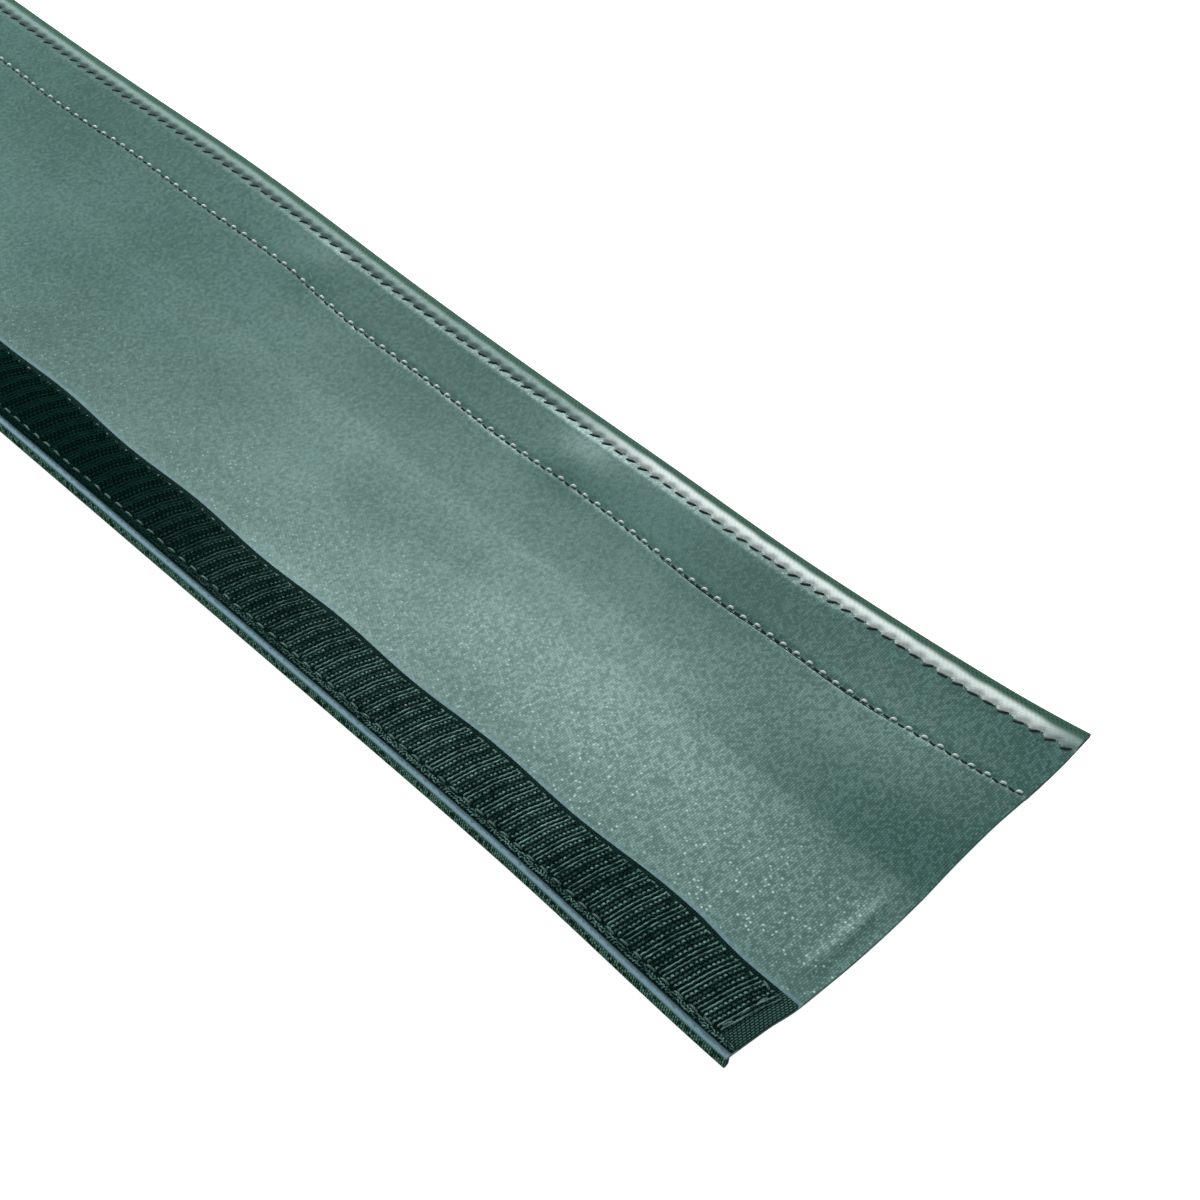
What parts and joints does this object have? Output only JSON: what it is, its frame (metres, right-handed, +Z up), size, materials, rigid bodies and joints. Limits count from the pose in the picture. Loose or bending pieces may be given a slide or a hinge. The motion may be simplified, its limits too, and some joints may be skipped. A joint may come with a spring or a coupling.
{
  "type": "webbing protector sleeve",
  "caption": "Open webbing protector sleeve of satin cloth that wraps round a sling and closes along its length with hook and loop tape.",
  "frame": {"origin": "centre of the open sleeve's box, on the surface that it lies on", "axes": "+X along the sleeve towards the end whose loop corner curls up, +Y from the hook edge to the loop edge, +Z up out of the inner face"},
  "size_m": [0.5, 0.105, 0.0144],
  "materials": {
    "satin_cloth": "grey-green satin weave with a soft sheen",
    "hem_cloth": "the same satin cloth, rolled, with the twill showing",
    "hook_tape": "matt dark green woven tape with rows of small hooks",
    "loop_tape": "matt dark green brushed loop pile",
    "light_thread": "pale grey-green twisted sewing thread",
    "dark_thread": "dark grey-green twisted sewing thread"
  },
  "bodies": {
    "base": {"base_panel": "satin_cloth"},
    "hook_fold_inner": {"hook_fold_strip_inner": "satin_cloth"},
    "hook_fold_outer": {"hook_fold_strip_outer": "satin_cloth"},
    "hook_side": {"hook_flap": "satin_cloth", "hook_edge_hem": "hem_cloth", "hook_tape": "hook_tape", "hook_seam_upper_thread": "dark_thread", "hook_seam_lower_thread": "dark_thread"},
    "loop_fold_inner": {"loop_fold_strip_inner": "satin_cloth"},
    "loop_fold_outer": {"loop_fold_strip_outer": "satin_cloth"},
    "loop_side": {"loop_flap": "satin_cloth", "loop_edge_hem": "hem_cloth", "loop_tape": "loop_tape", "loop_seam_upper_thread": "light_thread", "loop_seam_lower_thread": "dark_thread", "hem_seam_upper_thread": "dark_thread", "hem_seam_lower_thread": "dark_thread"}
  },
  "joints": [
    {"name": "hook_flap_fold", "type": "hinge", "parent": "base", "child": "hook_fold_inner", "pos_m": [0, -0.0095, 0.0008], "axis": [-1, 0, 0], "range_deg": [0, 57]},
    {"name": "hook_flap_fold_middle", "type": "hinge", "parent": "hook_fold_inner", "child": "hook_fold_outer", "pos_m": [0, -0.0193, 0.0008], "axis": [-1, 0, 0], "range_deg": [0, 57]},
    {"name": "hook_flap_fold_outer", "type": "hinge", "parent": "hook_fold_outer", "child": "hook_side", "pos_m": [0, -0.0291, 0.0008], "axis": [-1, 0, 0], "range_deg": [0, 57]},
    {"name": "loop_flap_fold", "type": "hinge", "parent": "base", "child": "loop_fold_inner", "pos_m": [0, 0.0165, 0.0008], "axis": [1, 0, 0], "range_deg": [0, 57]},
    {"name": "loop_flap_fold_middle", "type": "hinge", "parent": "loop_fold_inner", "child": "loop_fold_outer", "pos_m": [0, 0.0225, 0.0008], "axis": [1, 0, 0], "range_deg": [0, 57]},
    {"name": "loop_flap_fold_outer", "type": "hinge", "parent": "loop_fold_outer", "child": "loop_side", "pos_m": [0, 0.0285, 0.0008], "axis": [1, 0, 0], "range_deg": [0, 57]}
  ],
  "couplings": [
    {"joint": "hook_flap_fold_middle", "follows": "hook_flap_fold", "ratio": 1},
    {"joint": "hook_flap_fold_outer", "follows": "hook_flap_fold", "ratio": 1},
    {"joint": "loop_flap_fold_middle", "follows": "loop_flap_fold", "ratio": 1},
    {"joint": "loop_flap_fold_outer", "follows": "loop_flap_fold", "ratio": 1}
  ]
}
